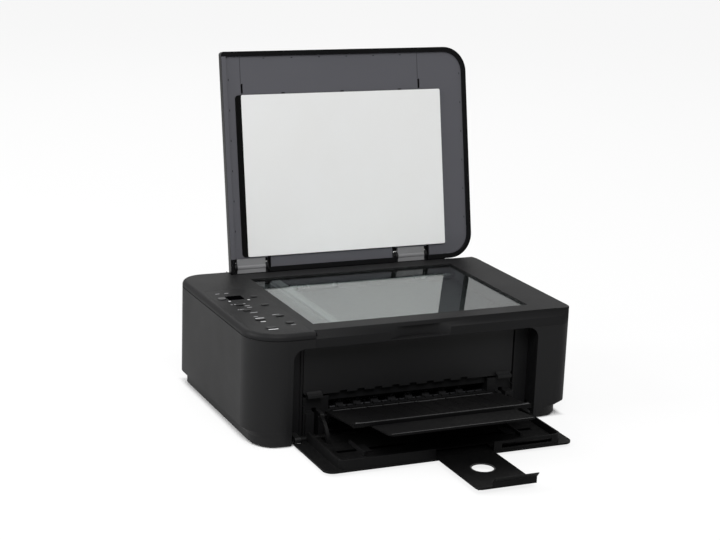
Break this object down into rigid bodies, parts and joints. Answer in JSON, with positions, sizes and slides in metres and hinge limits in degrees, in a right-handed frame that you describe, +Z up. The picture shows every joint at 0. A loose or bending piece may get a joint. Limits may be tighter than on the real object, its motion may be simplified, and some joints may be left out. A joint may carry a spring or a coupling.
{
  "type": "inkjet printer",
  "caption": "Low black inkjet printer with a flatbed scanner on top, its lid standing open, and a fold-down front door that carries the paper tray.",
  "frame": {"origin": "on the table under the middle of the casing's footprint, trays and lid left out", "axes": "+X to the printer's right seen from its front, +Y to its back, +Z up"},
  "size_m": [0.443, 0.5702, 0.441],
  "materials": {
    "base_tub": "moulded black, fine grain",
    "rubber_feet": "soft black",
    "main_casing": "moulded black, fine grain",
    "bay_frame": "moulded black",
    "casing_screws": "zinc plated",
    "power_inlet": "moulded black with metal pins",
    "top_cover": "moulded black, satin",
    "platen_glass": "clear float glass",
    "scanner_pan": "moulded black",
    "scan_guide_rod": "ground bar",
    "control_panel": "printed sheet",
    "panel_board": "circuit board with dark display",
    "hinge_brackets": "black",
    "hinge_pins": "ground pin",
    "chassis": "zinc coated sheet",
    "carriage_rail": "zinc coated sheet",
    "star_wheel_bar": "moulded black",
    "carriage_motor": "drawn can",
    "feed_motor": "drawn can",
    "carriage_belt": "toothed black belt",
    "power_supply": "moulded black",
    "main_board": "green circuit board",
    "inner_cover": "moulded black, fine grain",
    "lid_shell": "gloss black",
    "lid_lining": "dark grey, fine grain",
    "pad_foam": "black foam",
    "pad_sheet": "white, smooth",
    "hinge_arms": "grey",
    "front_door": "moulded black, fine grain",
    "tray_platform": "moulded black",
    "door_stays": "moulded black, smooth",
    "paper_support": "moulded black",
    "left_paper_guide": "moulded dark grey",
    "right_paper_guide": "moulded dark grey",
    "guide_pinion": "pale acetal",
    "output_tray": "moulded black",
    "tray_extension": "moulded black",
    "scan_carriage": "moulded dark grey with a clear lens strip",
    "cartridge_carriage": "moulded black",
    "black_cartridge": "dark grey",
    "color_cartridge": "grey",
    "motor_pulley": "turned",
    "idler_pulley": "pale acetal",
    "feed_shaft": "gritted grey roller on its shaft",
    "feed_gear": "pale acetal",
    "exit_shaft": "ground bar",
    "exit_rubbers": "grey rubber",
    "exit_gear": "pale acetal",
    "idler_gear": "pale acetal",
    "motor_pinion": "turned",
    "star_wheels": "thin stainless",
    "power_button": "dark grey, smooth",
    "wireless_button": "dark grey, smooth",
    "copies_button": "dark grey, smooth",
    "paper_button": "dark grey, smooth",
    "fit_button": "dark grey, smooth",
    "stop_button": "dark grey, smooth",
    "scan_button": "dark grey, smooth",
    "black_button": "dark grey, smooth",
    "color_button": "dark grey, smooth"
  },
  "bodies": {
    "casing": {"base_tub": "base_tub", "rubber_feet": "rubber_feet", "main_casing": "main_casing", "bay_frame": "bay_frame", "casing_screws": "casing_screws", "power_inlet": "power_inlet", "top_cover": "top_cover", "platen_glass": "platen_glass", "scanner_pan": "scanner_pan", "scan_guide_rod": "scan_guide_rod", "control_panel": "control_panel", "panel_board": "panel_board", "hinge_brackets": "hinge_brackets", "hinge_pins": "hinge_pins", "chassis": "chassis", "carriage_rail": "carriage_rail", "star_wheel_bar": "star_wheel_bar", "carriage_motor": "carriage_motor", "feed_motor": "feed_motor", "carriage_belt": "carriage_belt", "power_supply": "power_supply", "main_board": "main_board"},
    "inner_cover": {"inner_cover": "inner_cover"},
    "lid": {"lid_shell": "lid_shell", "lid_lining": "lid_lining", "pad_foam": "pad_foam", "pad_sheet": "pad_sheet", "hinge_arms": "hinge_arms"},
    "door": {"front_door": "front_door", "tray_platform": "tray_platform", "door_stays": "door_stays"},
    "paper_support": {"paper_support": "paper_support"},
    "left_guide": {"left_paper_guide": "left_paper_guide"},
    "right_guide": {"right_paper_guide": "right_paper_guide"},
    "guide_pinion": {"guide_pinion": "guide_pinion"},
    "output_tray": {"output_tray": "output_tray"},
    "tray_extension": {"tray_extension": "tray_extension"},
    "scan_head": {"scan_carriage": "scan_carriage"},
    "print_carriage": {"cartridge_carriage": "cartridge_carriage", "black_cartridge": "black_cartridge", "color_cartridge": "color_cartridge"},
    "motor_pulley": {"motor_pulley": "motor_pulley"},
    "idler_pulley": {"idler_pulley": "idler_pulley"},
    "feed_roller": {"feed_shaft": "feed_shaft", "feed_gear": "feed_gear"},
    "exit_roller": {"exit_shaft": "exit_shaft", "exit_rubbers": "exit_rubbers", "exit_gear": "exit_gear"},
    "idler_gear": {"idler_gear": "idler_gear"},
    "motor_pinion": {"motor_pinion": "motor_pinion"},
    "star_wheels": {"star_wheels": "star_wheels"},
    "power_button": {"power_button": "power_button"},
    "wireless_button": {"wireless_button": "wireless_button"},
    "copies_button": {"copies_button": "copies_button"},
    "paper_button": {"paper_button": "paper_button"},
    "fit_button": {"fit_button": "fit_button"},
    "stop_button": {"stop_button": "stop_button"},
    "scan_button": {"scan_button": "scan_button"},
    "black_button": {"black_button": "black_button"},
    "color_button": {"color_button": "color_button"}
  },
  "joints": [
    {"name": "lid_hinge", "type": "hinge", "parent": "casing", "child": "lid", "pos_m": [0, 0.1425, 0.1523], "axis": [1, 0, 0], "range_deg": [0, 100.8]},
    {"name": "door_hinge", "type": "hinge", "parent": "casing", "child": "door", "pos_m": [0, -0.1477, 0.008], "axis": [-1, 0, 0], "range_deg": [0, 90]},
    {"name": "tray_hinge", "type": "hinge", "parent": "casing", "child": "output_tray", "pos_m": [0, -0.138, 0.0322], "axis": [-1, 0, 0], "range_deg": [0, 82.6]},
    {"name": "extension_slide", "type": "slide", "parent": "output_tray", "child": "tray_extension", "axis": [0, 0.9917, -0.1288], "range_m": [0, 0.0665]},
    {"name": "support_slide", "type": "slide", "parent": "door", "child": "paper_support", "axis": [0, 1, 0], "range_m": [0, 0.115]},
    {"name": "right_guide_slide", "type": "slide", "parent": "door", "child": "right_guide", "axis": [-1, 0, 0], "range_m": [0, 0.052]},
    {"name": "left_guide_slide", "type": "slide", "parent": "door", "child": "left_guide", "axis": [1, 0, 0], "range_m": [0, 0.052]},
    {"name": "guide_pinion_spin", "type": "hinge", "parent": "door", "child": "guide_pinion", "pos_m": [0, -0.2077, 0.0075], "axis": [0, 0, 1], "range_deg": [-500, 500]},
    {"name": "inner_cover_hinge", "type": "hinge", "parent": "casing", "child": "inner_cover", "pos_m": [0, -0.126, 0.118], "axis": [1, 0, 0], "range_deg": [-75, 0]},
    {"name": "scan_slide", "type": "slide", "parent": "casing", "child": "scan_head", "axis": [1, 0, 0], "range_m": [-0.034, 0.262]},
    {"name": "carriage_slide", "type": "slide", "parent": "casing", "child": "print_carriage", "axis": [1, 0, 0], "range_m": [-0.29, 0]},
    {"name": "motor_pulley_spin", "type": "hinge", "parent": "casing", "child": "motor_pulley", "pos_m": [0.193, -0.035, 0.078], "axis": [0, 1, 0], "continuous": true},
    {"name": "idler_pulley_spin", "type": "hinge", "parent": "casing", "child": "idler_pulley", "pos_m": [-0.14, -0.035, 0.078], "axis": [0, 1, 0], "continuous": true},
    {"name": "feed_spin", "type": "hinge", "parent": "casing", "child": "feed_roller", "pos_m": [0, -0.045, 0.034], "axis": [1, 0, 0], "continuous": true},
    {"name": "exit_spin", "type": "hinge", "parent": "casing", "child": "exit_roller", "pos_m": [0, -0.113, 0.033], "axis": [1, 0, 0], "continuous": true},
    {"name": "idler_gear_spin", "type": "hinge", "parent": "casing", "child": "idler_gear", "pos_m": [-0.159, -0.08231, 0.03864], "axis": [1, 0, 0], "continuous": true},
    {"name": "motor_pinion_spin", "type": "hinge", "parent": "casing", "child": "motor_pinion", "pos_m": [-0.159, -0.0338, 0.0534], "axis": [1, 0, 0], "continuous": true},
    {"name": "star_wheel_spin", "type": "hinge", "parent": "casing", "child": "star_wheels", "pos_m": [0, -0.113, 0.0443], "axis": [1, 0, 0], "continuous": true},
    {"name": "power_press", "type": "slide", "parent": "casing", "child": "power_button", "axis": [0, 0, -1], "range_m": [0, 0.001], "stiffness_N_per_m": 400},
    {"name": "wireless_press", "type": "slide", "parent": "casing", "child": "wireless_button", "axis": [0, 0, -1], "range_m": [0, 0.001], "stiffness_N_per_m": 400},
    {"name": "copies_press", "type": "slide", "parent": "casing", "child": "copies_button", "axis": [0, 0, -1], "range_m": [0, 0.001], "stiffness_N_per_m": 400},
    {"name": "paper_press", "type": "slide", "parent": "casing", "child": "paper_button", "axis": [0, 0, -1], "range_m": [0, 0.001], "stiffness_N_per_m": 400},
    {"name": "fit_press", "type": "slide", "parent": "casing", "child": "fit_button", "axis": [0, 0, -1], "range_m": [0, 0.001], "stiffness_N_per_m": 400},
    {"name": "stop_press", "type": "slide", "parent": "casing", "child": "stop_button", "axis": [0, 0, -1], "range_m": [0, 0.001], "stiffness_N_per_m": 400},
    {"name": "scan_press", "type": "slide", "parent": "casing", "child": "scan_button", "axis": [0, 0, -1], "range_m": [0, 0.001], "stiffness_N_per_m": 400},
    {"name": "black_press", "type": "slide", "parent": "casing", "child": "black_button", "axis": [0, 0, -1], "range_m": [0, 0.001], "stiffness_N_per_m": 400},
    {"name": "color_press", "type": "slide", "parent": "casing", "child": "color_button", "axis": [0, 0, -1], "range_m": [0, 0.001], "stiffness_N_per_m": 400}
  ],
  "couplings": [
    {"joint": "tray_hinge", "follows": "door_hinge", "ratio": 0.91778},
    {"joint": "extension_slide", "follows": "door_hinge", "m_per_rad": 0.042335},
    {"joint": "support_slide", "follows": "door_hinge", "m_per_rad": 0.073211},
    {"joint": "left_guide_slide", "follows": "right_guide_slide", "ratio": 1},
    {"joint": "guide_pinion_spin", "follows": "right_guide_slide", "rad_per_m": 156.25},
    {"joint": "motor_pulley_spin", "follows": "carriage_slide", "rad_per_m": 148.15},
    {"joint": "idler_pulley_spin", "follows": "carriage_slide", "rad_per_m": 148.15},
    {"joint": "exit_spin", "follows": "feed_spin", "ratio": 1.6667},
    {"joint": "idler_gear_spin", "follows": "feed_spin", "ratio": -0.74074},
    {"joint": "motor_pinion_spin", "follows": "feed_spin", "ratio": -2.5}
  ]
}
